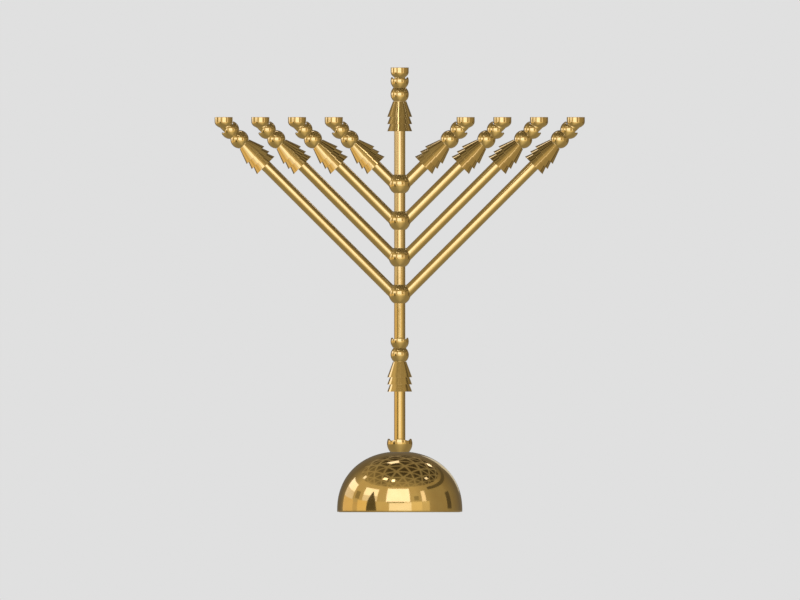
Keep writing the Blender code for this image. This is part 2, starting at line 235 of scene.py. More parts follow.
def collar_outline(angle):
    low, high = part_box("base_flower")
    drop = leg(COLLAR_RADIUS, COLLAR_FOOT)
    centre = low.z + drop
    bowl = flower_bowl(angle, COLLAR_RADIUS, COLLAR_WALL, high.z - centre, COLLAR_NOTCH, COLLAR_FLOOR, -drop,
                       centre)
    socket = low.z + COLLAR_WEB
    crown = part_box("dome_shell")[1].z
    foot = [(COLLAR_FOOT, crown), (ROD_HOLE, crown), (ROD_HOLE, socket)]
    return soften(bowl + foot + [(TUBE_HOLE, socket), (TUBE_HOLE, centre - COLLAR_FLOOR, FINE_EDGE)])


def weight_outline(angle):
    low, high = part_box("base_weight")
    post = crown_inside() - WEIGHT_GAP
    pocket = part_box("base_washer")[1].z + FIT
    disc = pocket + WEIGHT_WEB
    corners = [(ROD_HOLE, high.z, EDGE), (post, high.z, EDGE), (post, disc, CAST_EDGE)]
    corners += [(high.x, disc, CAST_EDGE), (high.x, low.z, CAST_EDGE), (POCKET_RADIUS, low.z, EDGE)]
    return soften(corners + [(POCKET_RADIUS, pocket, EDGE), (ROD_HOLE, pocket, FINE_EDGE)])


def nut_outline(angle):
    low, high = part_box("base_nut")
    sixth = math.pi / 3
    from_flat = (angle + sixth / 2) % sixth - sixth / 2
    side = NUT_FLAT / math.cos(from_flat)
    drop = (side - NUT_FACE) * NUT_CHAMFER
    outside = [(NUT_FACE, high.z), (side, high.z - drop), (side, low.z + drop), (NUT_FACE, low.z)]
    return soften(outside + [(ROD_HOLE, low.z, EDGE), (ROD_HOLE, high.z, EDGE)])


def thread(angle, top, length):
    """Points down a screw thread, whose ridge climbs one pitch in each turn."""
    count = round(length / THREAD_PITCH) * THREAD_STEPS
    points = []
    for step in range(1, count):
        height = top - length * step / count
        phase = (height / THREAD_PITCH - angle / (2 * math.pi)) % 1
        fade = min(1.0, step / THREAD_STEPS, (count - step) / THREAD_STEPS)
        ridge = abs(2 * phase - 1)
        points.append((ROD_RADIUS - THREAD_DEPTH * (1 - ridge * fade), height))
    return points


def rod_outline(angle):
    low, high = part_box("tie_rod")
    core = ROD_RADIUS - THREAD_DEPTH
    above = high.z - THREAD_ABOVE
    below = low.z + THREAD_BELOW
    upper_end = [(0.0, high.z), (core, high.z)] + thread(angle, high.z, THREAD_ABOVE)
    shank = [(core, above), (ROD_RADIUS, above - THREAD_DEPTH), (ROD_RADIUS, below + THREAD_DEPTH)]
    lower_end = [(core, below)] + thread(angle, below, THREAD_BELOW) + [(core, low.z), (0.0, low.z)]
    return upper_end + shank + lower_end


# Beads, with the origin on the tube's axis at the lowest goblet rim

GOBLET_TOP = GOBLET_FLARE + (GOBLET_COUNT - 1) * GOBLET_PITCH
GOBLET_NECK = TUBE_HOLE + GOBLET_WALL
NECK_RADIUS = TUBE_HOLE + NECK_WALL
KNOP_HALF = leg(KNOP_RADIUS, NECK_RADIUS)
FLOWER_HALF = leg(FLOWER_RADIUS, NECK_RADIUS)
KNOP_CENTRE = GOBLET_TOP + FIT + KNOP_HALF
FLOWER_CENTRE = KNOP_CENTRE + KNOP_HALF + FLOWER_HALF


def goblets_outline(angle):
    slope = (GOBLET_RIM - GOBLET_NECK) / GOBLET_FLARE
    corners = [(TUBE_HOLE, GOBLET_TOP, FINE_EDGE), (GOBLET_NECK, GOBLET_TOP, FINE_EDGE)]
    for tier in range(GOBLET_COUNT):
        rim = GOBLET_TOP - GOBLET_FLARE - tier * GOBLET_PITCH
        corners.append((GOBLET_RIM, rim, CRISP_EDGE))
        if tier < GOBLET_COUNT - 1:
            corners.append((GOBLET_RIM - slope * GOBLET_PITCH, rim, CRISP_EDGE))
    corners.append((GOBLET_RIM - GOBLET_LIP, 0.0, CRISP_EDGE))
    corners.append((GOBLET_NECK, GOBLET_HOLLOW, EDGE))
    corners.append((TUBE_HOLE, GOBLET_HOLLOW, FINE_EDGE))
    return soften(corners)


def knop_flower_outline(angle):
    bowl = flower_bowl(angle, FLOWER_RADIUS, FLOWER_WALL, FLOWER_RIM, FLOWER_NOTCH, FLOWER_FLOOR,
                       -FLOWER_HALF, FLOWER_CENTRE)
    knop = globe(KNOP_RADIUS, KNOP_CENTRE, KNOP_HALF, -KNOP_HALF)
    bowl[-1] += (FINE_EDGE,)
    bore = [(TUBE_HOLE, KNOP_CENTRE - KNOP_HALF), (TUBE_HOLE, FLOWER_CENTRE - FLOWER_FLOOR, FINE_EDGE)]
    return soften(bowl + knop[1:] + bore)


# Candle cups, with the origin on the cup's axis at the lower end of its straight wall

def cup_mouth():
    """Corners from the middle of the candle's hole over the lip to the outside."""
    floor = CUP_FLOOR - CUP_BOWL
    hole = [(0.0, floor), (CANDLE_RADIUS, floor, EDGE), (CANDLE_RADIUS, CUP_WALL - CUP_DISH, EDGE)]
    return hole + [(CUP_RADIUS - CUP_LIP, CUP_WALL, EDGE), (CUP_RADIUS, CUP_WALL, EDGE)]


def cup_bowl(least_radius):
    """Points down the outside of the bowl, to a radius."""
    last = math.acos(least_radius / CUP_RADIUS)
    points = []
    for step in range(ROUND_STEPS + 1):
        angle = last * step / ROUND_STEPS
        points.append((CUP_RADIUS * math.cos(angle), -CUP_BOWL * math.sin(angle)))
    return points


def arm_cup_outline(angle):
    return soften(cup_mouth() + cup_bowl(0.0))


def helper_cup_outline(angle):
    spigot = TUBE_BORE - FIT
    bottom = -CUP_BOWL - SPIGOT_LENGTH
    rod_end = bottom + ROD_GRIP + FIT
    corners = [(spigot, bottom, EDGE), (ROD_HOLE, bottom, FINE_EDGE), (ROD_HOLE, rod_end), (0.0, rod_end)]
    return soften(cup_mouth() + cup_bowl(spigot) + corners)


# Balls and arms: a ball has its origin in its middle, and an arm's tube on the stem's axis

BALL_HALF = leg(BALL_RADIUS, TUBE_HOLE)
BALL_SOCKET = BALL_HALF - BALL_SEAT
ARM_DROP = (BALL_RADIUS - ARM_INSET - TUBE_RADIUS) / TILT_SIN
PETAL_REACH = leg(FLOWER_RADIUS, FLOWER_RIM)
FLOWER_TO_CUP = FLOWER_RIM + (CUP_RADIUS + HORN_GAP - PETAL_REACH * TILT_COS) / TILT_SIN


def ball_outline(angle):
    outside = globe(BALL_RADIUS, 0.0, BALL_HALF, -BALL_HALF)
    outside[0] += (FINE_EDGE,)
    outside[-1] += (FINE_EDGE,)
    lower_socket = [(TUBE_HOLE, -BALL_SOCKET), (ROD_HOLE, -BALL_SOCKET)]
    return soften(outside + lower_socket + [(ROD_HOLE, BALL_SOCKET), (TUBE_HOLE, BALL_SOCKET)])


def arm_start(across, aside):
    """Where the line along an arm at (across, aside) from its axis leaves the ball and the stem."""
    ball_across = -ARM_DROP * TILT_SIN
    ball_along = ARM_DROP * TILT_COS
    leaves_ball = ball_along + math.sqrt(BALL_RADIUS ** 2 - (across - ball_across) ** 2 - aside ** 2)
    leaves_stem = (math.sqrt(max(TUBE_HOLE ** 2 - aside ** 2, 0.0)) - across * TILT_COS) / TILT_SIN
    return max(leaves_ball, leaves_stem + BRAZE_SINK)


def arm_end(across, aside, length, lift):
    """Where the line along an arm at (across, aside) from its axis meets the outside of its cup."""
    cup_across = -lift * TILT_SIN
    cup_along = length + lift * TILT_COS
    level = (across - cup_across) * TILT_COS
    rise = -(across - cup_across) * TILT_SIN
    # The bowl is a flattened ball, so square, half and rest are the terms of a quadratic for the line along
    square = (TILT_SIN / CUP_RADIUS) ** 2 + (TILT_COS / CUP_BOWL) ** 2
    half = level * TILT_SIN / CUP_RADIUS ** 2 + rise * TILT_COS / CUP_BOWL ** 2
    rest = (level ** 2 + aside ** 2) / CUP_RADIUS ** 2 + (rise / CUP_BOWL) ** 2 - 1
    along = (-half - math.sqrt(half ** 2 - square * rest)) / square
    meets_wall = rise + along * TILT_COS > 0
    if meets_wall:
        along = (-leg(CUP_RADIUS, aside) - level) / TILT_SIN
    return cup_along + along


def arm_tube_outline(angle, length, lift):
    """Outline of an arm's tube, with a small brazed fillet where it meets its ball and its cup."""
    cos = math.cos(angle)
    sin = math.sin(angle)
    skin = []
    for step in range(BRAZE_STEPS + 1):
        share = 1 - step / BRAZE_STEPS
        radius = TUBE_RADIUS + BRAZE * (1 - math.sqrt(1 - share ** 2))
        skin.append((radius, BRAZE * (1 - share)))
    top = [(radius, arm_end(radius * cos, radius * sin, length, lift) - back) for radius, back in skin]
    bottom = [(radius, arm_start(radius * cos, radius * sin) + back) for radius, back in reversed(skin)]
    top.insert(0, (TUBE_RADIUS, top[0][1] + BRAZE_SINK))
    bottom.append((TUBE_RADIUS, bottom[-1][1] - BRAZE_SINK))
    return top + bottom + [(TUBE_BORE, bottom[-1][1]), (TUBE_BORE, top[0][1])]


def upper_tube_outline(angle, cup_height):
    """Outline of the highest stem tube, whose upper end follows the helper cup's bowl."""
    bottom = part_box("stem_tube_upper")[0].z
    ends = []
    for radius in (TUBE_RADIUS, TUBE_BORE):
        ends.append(cup_height - (CUP_BOWL + FIT) * leg(1.0, radius / (CUP_RADIUS + FIT)))
    return soften([(TUBE_RADIUS, ends[0]), (TUBE_RADIUS, bottom, FINE_EDGE), (TUBE_BORE, bottom, FINE_EDGE),
                   (TUBE_BORE, ends[1])])


# Shader nodes

# Sockets of a Mix node that mixes colours
MIX_SHARE = 0
MIX_FIRST = 6
MIX_SECOND = 7
MIX_RESULT = 2


def node(tree, kind, inputs=None, **settings):
    """New node with its settings, and with its inputs set to values or linked to sockets."""
    made = tree.nodes.new(kind)
    for name, value in settings.items():
        setattr(made, name, value)
    for name, value in (inputs or {}).items():
        if isinstance(value, bpy.types.NodeSocket):
            tree.links.new(value, made.inputs[name])
        else:
            made.inputs[name].default_value = value
    return made


def own_place(tree):
    """The shaded point in the object's own coordinates."""
    return node(tree, "ShaderNodeTexCoord").outputs["Object"]


def noise(tree, fineness, detail, stretch=(1, 1, 1)):
    """Noise in the object's own coordinates, stretched by a scale for each axis."""
    mapping = node(tree, "ShaderNodeMapping", {"Vector": own_place(tree), "Scale": stretch})
    inputs = {"Vector": mapping.outputs["Vector"], "Scale": fineness, "Detail": detail}
    return node(tree, "ShaderNodeTexNoise", inputs).outputs["Fac"]


def spread(tree, value, source, target):
    """A value mapped from a source range to a target range, and held inside it."""
    inputs = {"Value": value, "From Min": source[0], "From Max": source[1], "To Min": target[0],
              "To Max": target[1]}
    return node(tree, "ShaderNodeMapRange", inputs).outputs["Result"]


def blend(tree, share, first, second):
    """A colour between two colours."""
    inputs = {MIX_SHARE: share, MIX_FIRST: first, MIX_SECOND: second}
    return node(tree, "ShaderNodeMix", inputs, data_type="RGBA").outputs[MIX_RESULT]


def calculate(tree, operation, first, second=0.0):
    """Result of an operation on one or two values."""
    return node(tree, "ShaderNodeMath", {0: first, 1: second}, operation=operation).outputs["Value"]


def length_along(tree, vector, direction):
    """Length of a vector along a unit direction."""
    inputs = {0: vector, 1: direction}
    return node(tree, "ShaderNodeVectorMath", inputs, operation="DOT_PRODUCT").outputs["Value"]


def new_material(name):
    made = bpy.data.materials.new(name)
    made.use_nodes = True
    return made, made.node_tree, made.node_tree.nodes["Principled BSDF"]


def roughen(tree, shader, height, depth):
    """Bump of a depth on a surface, from a height between 0 and 1."""
    bump = node(tree, "ShaderNodeBump", {"Height": height, "Strength": 1.0, "Distance": depth})
    tree.links.new(bump.outputs["Normal"], shader.inputs["Normal"])


# Materials of the part

NOISE_RANGE = (0.3, 0.7)         # most noise values lie inside it
HIGH_NOISE = (0.55, 0.75)        # leaves small spots of the noise
BRASS = (0.93, 0.62, 0.185, 1.0)
BRASS_DEEP = (0.86, 0.53, 0.14, 1.0)
# Colour of the hollows: tarnish and painted shade
TARNISH_AND_SHADE = (0.42, 0.24, 0.07, 1.0)
WORN_EDGE = (0.97, 0.71, 0.29, 1.0)
PATCH_RANGE = (0.35, 0.70)       # noise values from none to all of a patch
PATCH_SHARE = 0.55               # of the deeper colour in a patch
HOLLOW_BEND = (0.49, 0.40)       # pointiness from a flat face into a hollow
RIDGE_BEND = (0.53, 0.62)        # pointiness from a flat face onto an edge
WEAR_AND_SHADE_SHARE = 0.3                 # of tarnish and painted shade in a hollow, and of bare metal on an edge
SMUDGE_RANGE = (0.30, 0.75)
LINE_ROUGHNESS = 0.012           # how far polishing lines raise or lower the roughness
LINE_DEPTH = 0.0000004
LATHE_LINES = (25, 25, 2400)     # fineness along each axis
DRAWN_LINES = (1200, 1200, 8)
LACQUER = 0.15
LACQUER_ROUGHNESS = 0.04
IRON = (0.045, 0.045, 0.047, 1.0)
RUST = (0.12, 0.055, 0.025, 1.0)
RUST_SHARE = 0.6
CAST_DEPTH = 0.00025             # of the casting's rough skin
ZINC_DULL = (0.50, 0.50, 0.47, 1.0)
ZINC_BRIGHT = (0.68, 0.67, 0.64, 1.0)
FELT_DEEP = (0.018, 0.075, 0.034, 1.0)
FELT_PALE = (0.040, 0.125, 0.060, 1.0)
FIBRE = (0.07, 0.19, 0.10, 1.0)
FIBRE_SHARE = 0.6
FIBRE_LINES = (2600, 900, 1800)
FIBRE_DEPTH = 0.0004


def brass(name, lines, smooth, dull):
    """Polished and lacquered brass. lines gives the fineness of its polishing lines along each axis, and its
    roughness lies between smooth and dull."""
    made, tree, shader = new_material(name)
    patch = noise(tree, fineness=70, detail=2.0)
    color = blend(tree, spread(tree, patch, PATCH_RANGE, (0.0, PATCH_SHARE)), BRASS, BRASS_DEEP)
    bend = node(tree, "ShaderNodeNewGeometry").outputs["Pointiness"]
    # Hollows darken towards it: tarnish and painted shade
    color = blend(tree, spread(tree, bend, HOLLOW_BEND, (0.0, WEAR_AND_SHADE_SHARE)), color, TARNISH_AND_SHADE)
    color = blend(tree, spread(tree, bend, RIDGE_BEND, (0.0, WEAR_AND_SHADE_SHARE)), color, WORN_EDGE)
    smudge = spread(tree, noise(tree, fineness=160, detail=5.0), SMUDGE_RANGE, (smooth, dull))
    line = noise(tree, fineness=1.0, detail=2.0, stretch=lines)
    scratch = spread(tree, line, NOISE_RANGE, (-LINE_ROUGHNESS, LINE_ROUGHNESS))
    tree.links.new(color, shader.inputs["Base Color"])
    tree.links.new(calculate(tree, "ADD", smudge, scratch), shader.inputs["Roughness"])
    roughen(tree, shader, line, LINE_DEPTH)
    shader.inputs["Metallic"].default_value = 1.0
    shader.inputs["Coat Weight"].default_value = LACQUER
    shader.inputs["Coat Roughness"].default_value = LACQUER_ROUGHNESS
    return made


def cast_iron():
    made, tree, shader = new_material("cast_iron")
    grain = noise(tree, fineness=900, detail=6.0)
    rust = spread(tree, noise(tree, fineness=60, detail=4.0), HIGH_NOISE, (0.0, RUST_SHARE))
    roughness = spread(tree, grain, NOISE_RANGE, (0.50, 0.75))
    tree.links.new(blend(tree, rust, IRON, RUST), shader.inputs["Base Color"])
    tree.links.new(roughness, shader.inputs["Roughness"])
    roughen(tree, shader, grain, CAST_DEPTH)
    shader.inputs["Metallic"].default_value = 0.7
    return made


def zinc_steel():
    made, tree, shader = new_material("zinc_steel")
    cloud = noise(tree, fineness=400, detail=4.0)
    roughness = spread(tree, cloud, NOISE_RANGE, (0.22, 0.40))
    tree.links.new(blend(tree, cloud, ZINC_DULL, ZINC_BRIGHT), shader.inputs["Base Color"])
    tree.links.new(roughness, shader.inputs["Roughness"])
    shader.inputs["Metallic"].default_value = 1.0
    return made


def green_felt():
    made, tree, shader = new_material("green_felt")
    fibre = noise(tree, fineness=1.0, detail=5.0, stretch=FIBRE_LINES)
    color = blend(tree, noise(tree, fineness=180, detail=3.0), FELT_DEEP, FELT_PALE)
    color = blend(tree, spread(tree, fibre, HIGH_NOISE, (0.0, FIBRE_SHARE)), color, FIBRE)
    tree.links.new(color, shader.inputs["Base Color"])
    roughen(tree, shader, fibre, FIBRE_DEPTH)
    shader.inputs["Roughness"].default_value = 0.95
    shader.inputs["Sheen Weight"].default_value = 0.4
    return made


# Pieces


def turn(name, outline_at, sides, finish):
    """Mesh swept about Z. outline_at(angle) gives its closed outline of (radius, height) points there."""
    shape = bmesh.new()
    columns = []
    for side in range(sides):
        angle = 2 * math.pi * side / sides
        column = []
        for radius, height in outline_at(angle):
            column.append(shape.verts.new((radius * math.cos(angle), radius * math.sin(angle), height)))
        columns.append(column)
    for near, far in zip(columns, columns[1:] + columns[:1]):
        for low in range(len(near)):
            high = (low + 1) % len(near)
            shape.faces.new((near[low], near[high], far[high], far[low]))
    bmesh.ops.remove_doubles(shape, verts=shape.verts, dist=MERGE_DISTANCE)
    bmesh.ops.recalc_face_normals(shape, faces=shape.faces)
    mesh = bpy.data.meshes.new(name)
    shape.to_mesh(mesh)
    shape.free()
    mesh.shade_smooth()
    mesh.set_sharp_from_angle(angle=SHARP_ANGLE)
    mesh.materials.append(finish)
    return mesh


def place(nodename, mesh, body, matrix=Matrix.Identity(4)):
    """A fine piece in the place of one solid, moving with its body."""
    piece = bpy.data.objects.new(f"{nodename}_fine", mesh)
    piece.matrix_world = matrix
    bpy.context.scene.collection.objects.link(piece)
    piece.modifiers.new("even shading", "WEIGHTED_NORMAL").keep_sharp = True
    # The pieces mirror the room and not each other
    piece.visible_glossy = False
    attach(piece, body)
    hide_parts(nodename)
    return piece


def dress_base(spun, iron, steel, felt):
    place("dome_shell", turn("dome", dome_outline, DOME_SIDES, spun), "stand")
    place("base_flower", turn("collar", collar_outline, SIDES, spun), "stand")
    low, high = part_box("felt_pad")
    hole = min(Vector(corner.co[:2]).length for corner in frame["nodes"]["felt_pad"].data.vertices)
    pad = turn("felt", ring(hole, high.x, low.z, high.z, EDGE), DOME_SIDES, felt)
    place("felt_pad", pad, "stand")
    place("base_weight", turn("weight", weight_outline, DOME_SIDES, iron), "stand")
    low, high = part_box("base_washer")
    washer = turn("washer", ring(ROD_HOLE, high.x, low.z, high.z), SIDES, steel)
    place("base_washer", washer, "stand")
    place("base_nut", turn("nut", nut_outline, SIDES, steel), "stand")
    place("tie_rod", turn("rod", rod_outline, ROD_SIDES, steel), "stand")


def dress_stem(turned, drawn, goblets, knop_flower):
    for nodename in ("stem_tube_lower", "stem_spacer_1", "stem_spacer_2", "stem_spacer_3"):
        low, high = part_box(nodename)
        tube = turn(nodename, ring(TUBE_BORE, TUBE_RADIUS, low.z, high.z), SIDES, drawn)
        place(nodename, tube, "stand")
    cup_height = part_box("helper_cup")[1].z - CUP_WALL
    upper = turn("upper_tube", functools.partial(upper_tube_outline, cup_height=cup_height), SIDES, drawn)
    place("stem_tube_upper", upper, "stand")
    for name in ("lower", "helper"):
        lift = Matrix.Translation((0, 0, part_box(f"{name}_goblets")[0].z))
        place(f"{name}_goblets", goblets, "stand", lift)
        place(f"{name}_knop_flower", knop_flower, "stand", lift)
    cup = turn("helper_cup", helper_cup_outline, SIDES, turned)
    place("helper_cup", cup, "stand", Matrix.Translation((0, 0, cup_height)))


def dress_arm(arm, body, start, heading, drawn, goblets, knop_flower, cup):
    """Tube, beads and cup of one arm, which starts on the stem's axis and heads right or left."""
    low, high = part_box(f"{arm}_cup")
    cup_place = Vector(((low.x + high.x) / 2, 0, high.z - CUP_WALL))
    length = abs(cup_place.x) / TILT_SIN
    lift = cup_place.z - start.z - length * TILT_COS
    axis = Matrix.Translation(start) @ Matrix.Rotation(heading, 4, "Z") @ Matrix.Rotation(ARM_TILT, 4, "Y")
    outline = functools.partial(arm_tube_outline, length=length, lift=lift)
    place(f"{arm}_tube", turn(f"{arm}_tube", outline, SIDES, drawn), body, axis)
    beads = axis @ Matrix.Translation((0, 0, length - FLOWER_TO_CUP - FLOWER_CENTRE))
    place(f"{arm}_goblets", goblets, body, beads)
    place(f"{arm}_knop_flower", knop_flower, body, beads)
    place(f"{arm}_cup", cup, body, Matrix.Translation(cup_place))


def dress_arms(turned, drawn, goblets, knop_flower):
    ball = turn("ball", ball_outline, SIDES, turned)
    cup = turn("arm_cup", arm_cup_outline, SIDES, turned)
    for number, joint in enumerate(frame["joints"], start=1):
        body = joint["child"]
        swivel = Vector(joint["pos_m"])
        place(f"arm_{number}_ball", ball, body, Matrix.Translation(swivel))
        start = swivel - Vector((0, 0, ARM_DROP))
        for side, heading in (("right", 0.0), ("left", math.pi)):
            dress_arm(f"arm_{number}_{side}", body, start, heading, drawn, goblets, knop_flower, cup)


# Studio

LAMP_DISTANCE = 6.0
FLOOR_RADIUS = 9.0
FLOOR_HEIGHT = -0.0001           # just under the felt
FLOOR_DULL = (0.79, 0.79, 0.78, 1.0)
FLOOR_PALE = (0.81, 0.81, 0.80, 1.0)
BACKGROUND = 0.745               # level of the world for the camera and the brass
AMBIENT = 0.65                   # level of the world for all else

# Room that the brass mirrors: its azimuths and elevations are in degrees, seen from the dome's skin
EYE_HEIGHT = 0.01
EYE_REACH = 0.07                 # of the dome's skin out from the stem
WALL_DISTANCE = 1.2
PANEL_DISTANCE = 1.15
SILL_DISTANCE = 1.1
FLAG_DISTANCE = 0.85
WALL_STEPS = 12
WALL_SPAN = 45                   # degrees in one piece of wall
WALL_FOOT = -0.5                 # elevation of the walls' foot, close to the floor
CEILING_HEIGHT = 1.04            # above the eye
LAMP_DROP = 0.02                 # of the ceiling lamps below the ceiling
POOL_REACH = 1.1                 # from the stem, where the light on the mirrored floor is brightest
MIRRORED_FLOOR_RADIUS = 1.1 * WALL_DISTANCE
MIRRORED_FLOOR_HEIGHT = 0.0002   # just over the floor
MIRRORED_FLOOR_LEVEL = 0.27      # away from the windows

# Colours in the room, where 1 is white
SKY = (1.38, 1.50, 2.40)
DIM_SKY = (1.30, 1.40, 2.15)
LAMP = (2.1, 2.2, 3.2)
BRIGHT_LAMP = (2.8, 3.0, 4.4)
WALL = (0.52, 0.48, 0.41)
RIGHT_WALL_LEVEL = 0.6           # of the walls' painted light, far to the right
BACK_WALL_LEVEL = 0.3
RIGHT_CEILING_LEVEL = 0.9
NEAR_HOLE = (0.30, 0.28, 0.24, 1.0)
DARK_HOLE = (0.055, 0.05, 0.045, 1.0)
NEAR_BEAM = (0.42, 0.39, 0.34, 1.0)
FAR_BEAM = (0.27, 0.26, 0.25, 1.0)
MIRRORED_FLOOR = (1.0, 0.985, 0.945)

# Truss under the ceiling
TRUSS_PITCH = 0.30 * CEILING_HEIGHT
TRUSS_SHIFT = 0.10 * CEILING_HEIGHT
TRUSS_ANGLES = (90, 30, -30)
BEAM_HALF = 0.09                 # half width of a beam, as a share of the pitch
BEAM_FADE = 0.04                 # half width of its soft edge, as a share of the pitch


def level_direction(azimuth):
    """Level unit vector from the object. Azimuth 0 points at the camera, and 90 to the right."""
    angle = math.radians(azimuth)
    return Vector((math.sin(angle), -math.cos(angle), 0))


def room_point(azimuth, elevation, distance):
    """Point on an upright wall at a distance from the stem."""
    height = EYE_HEIGHT + (distance - EYE_REACH) * math.tan(math.radians(elevation))
    return level_direction(azimuth) * distance + Vector((0, 0, height))


def softbox(name, azimuth, elevation, width, height, radiance):
    """Lamp that looks width by height degrees in size, as bright as radiance, where 1 is white."""
    lamp = bpy.data.lights.new(name, "AREA")
    lamp.shape = "RECTANGLE"
    lamp.size = 2 * LAMP_DISTANCE * math.tan(math.radians(width / 2))
    lamp.size_y = 2 * LAMP_DISTANCE * math.tan(math.radians(height / 2))
    lamp.energy = radiance * math.pi * lamp.size * lamp.size_y
    holder = bpy.data.objects.new(name, lamp)
    holder.location = room_point(azimuth, elevation, LAMP_DISTANCE)
    holder.rotation_euler = holder.location.to_track_quat("Z", "Y").to_euler()
    holder.visible_camera = False
    holder.visible_glossy = False
    bpy.context.scene.collection.objects.link(holder)


def build_lamps():
    """Soft light on the floor and on what isn't brass. The brass shows the room instead."""
    softbox("key_softbox", azimuth=-35, elevation=50, width=32, height=28, radiance=3.1)
    softbox("fill_softbox", azimuth=50, elevation=35, width=30, height=24, radiance=1.45)


def only_in_brass(thing):
    """Let a part of the room be seen in reflections alone."""
    thing.visible_camera = False
    thing.visible_diffuse = False
    thing.visible_shadow = False
    thing.visible_transmission = False


def glow_material(name, color=(1.0, 1.0, 1.0)):
    """Material that shines by itself, with its node tree and the node that shines."""
    made = bpy.data.materials.new(name)
    made.use_nodes = True
    tree = made.node_tree
    tree.nodes.clear()
    glow = node(tree, "ShaderNodeEmission", {"Color": color + (1.0,)})
    node(tree, "ShaderNodeOutputMaterial", {"Surface": glow.outputs["Emission"]})
    return made, tree, glow


def add_sheet(name, corners, faces, finish):
    """Sheet of the mirrored room."""
    mesh = bpy.data.meshes.new(name)
    mesh.from_pydata(corners, [], faces)
    mesh.materials.append(finish)
    made = bpy.data.objects.new(name, mesh)
    bpy.context.scene.collection.objects.link(made)
    only_in_brass(made)
    return made


def wall(name, left, right, bottom, top, distance, finish):
    """Upright curved sheet between two azimuths and two elevations."""
    corners = []
    for elevation in (bottom, top):
        for step in range(WALL_STEPS + 1):
            corners.append(room_point(left + (right - left) * step / WALL_STEPS, elevation, distance))
    above = WALL_STEPS + 1
    faces = [(step, step + 1, step + 1 + above, step + above) for step in range(WALL_STEPS)]
    add_sheet(name, corners, faces, finish)


def panel(name, left, right, bottom, top, color, distance=PANEL_DISTANCE):
    """Patch of one colour in front of the walls, between two azimuths and two elevations."""
    finish = glow_material(name, color)[0]
    wall(name, left, right, bottom, top, distance, finish)


def ceiling_lamp(name, left, right, bottom, top, color):
    """Patch of one colour under the ceiling, between two azimuths and two elevations."""
    finish = glow_material(name, color)[0]
    height = CEILING_HEIGHT - LAMP_DROP
    corners = []
    for azimuth, elevation in ((left, bottom), (right, bottom), (right, top), (left, top)):
        distance = EYE_REACH + height / math.tan(math.radians(elevation))
        corners.append(room_point(azimuth, elevation, distance))
    add_sheet(name, corners, [(0, 1, 2, 3)], finish)


def build_windows():
    """Bright windows in the walls and lamps in the ceiling."""
    panel("front_window", -25, 19, 12.5, 39, SKY)
    panel("low_front_window", -19, 21, WALL_FOOT, 11.5, (1.08, 1.14, 1.55))
    panel("left_window", -74, -43, 22, 35, DIM_SKY)
    panel("left_window_foot", -74, -43, 12.5, 22, (0.84, 0.87, 1.18))
    panel("far_left_window", -128, -99, 22, 33, DIM_SKY)
    panel("far_left_window_foot", -128, -99, 12, 22, (0.80, 0.82, 1.10))
    panel("right_strip", 42, 50, 10, 32, (1.05, 1.05, 1.4))
    panel("back_window", 156, 172, 6, 26, (0.60, 0.62, 0.60))
    ceiling_lamp("high_left_lamp", -49, -36, 57, 62, LAMP)
    ceiling_lamp("high_front_lamp", -22, -13.5, 55, 60.5, BRIGHT_LAMP)
    ceiling_lamp("high_right_lamp", 73, 82, 51, 55, DIM_SKY)
    ceiling_lamp("high_back_lamp", 139, 147, 46, 51, LAMP)
    ceiling_lamp("high_far_left_lamp", -106, -98, 43.5, 48.5, DIM_SKY)
    ceiling_lamp("top_back_lamp", -178, -148, 69, 77, SKY)


def build_panels():
    """Warmer and darker patches of the walls."""
    panel("low_front_left_panel", -44, -19, WALL_FOOT, 12.5, (0.60, 0.55, 0.45))
    panel("low_front_right_panel", 21, 41, WALL_FOOT, 12.5, (0.80, 0.75, 0.65))
    panel("low_right_panel", 41, 56, WALL_FOOT, 13, (0.64, 0.60, 0.52))
    panel("low_left_panel", -84, -63, WALL_FOOT, 12.5, (0.80, 0.69, 0.50))
    panel("low_side_panel", -96, -84, WALL_FOOT, 9, (0.56, 0.48, 0.37))
    panel("low_far_left_panel", -128, -96, WALL_FOOT, 12, (0.72, 0.61, 0.46))
    panel("side_door", 97, 109, 1, 21, (0.09, 0.085, 0.08))
    panel("right_beam", 60, 150, 33, 38, (0.10, 0.095, 0.085))
    panel("far_left_picture", -93, -82, 14, 25, (0.28, 0.26, 0.21))
    panel("right_picture", 27, 36, 15, 23, (0.30, 0.28, 0.23))
    panel("window_sill", -23, 8, 10.8, 12.8, (0.27, 0.27, 0.18), SILL_DISTANCE)


def build_flag():
    """Dark pointed card that stands on the left."""
    finish = glow_material("dark_flag", (0.10, 0.095, 0.08))[0]
    corners = []
    for azimuth, elevation in ((-63, WALL_FOOT), (-42, WALL_FOOT), (-46, 16), (-53, 31), (-60, 16)):
        corners.append(room_point(azimuth, elevation, FLAG_DISTANCE))
    add_sheet("dark_flag", corners, [(0, 1, 2, 3, 4)], finish)


def build_walls():
    """Dim walls that glow by themselves, with painted shade to the right and behind."""
    finish, tree, glow = glow_material("walls", WALL)
    spot = node(tree, "ShaderNodeSeparateXYZ", {"Vector": own_place(tree)}).outputs
    right_fade = (0.5 * WALL_DISTANCE, 0.95 * WALL_DISTANCE)
    back_fade = (0.1 * WALL_DISTANCE, 0.8 * WALL_DISTANCE)
    right = spread(tree, spot["X"], right_fade, (1.0, RIGHT_WALL_LEVEL))
    behind = spread(tree, spot["Y"], back_fade, (1.0, BACK_WALL_LEVEL))
    tree.links.new(calculate(tree, "MULTIPLY", right, behind), glow.inputs["Strength"])
    top = math.degrees(math.atan(CEILING_HEIGHT / (WALL_DISTANCE - EYE_REACH)))
    for number, azimuth in enumerate(range(-180, 180, WALL_SPAN)):
        wall(f"wall_{number}", azimuth, azimuth + WALL_SPAN, WALL_FOOT, top, WALL_DISTANCE, finish)


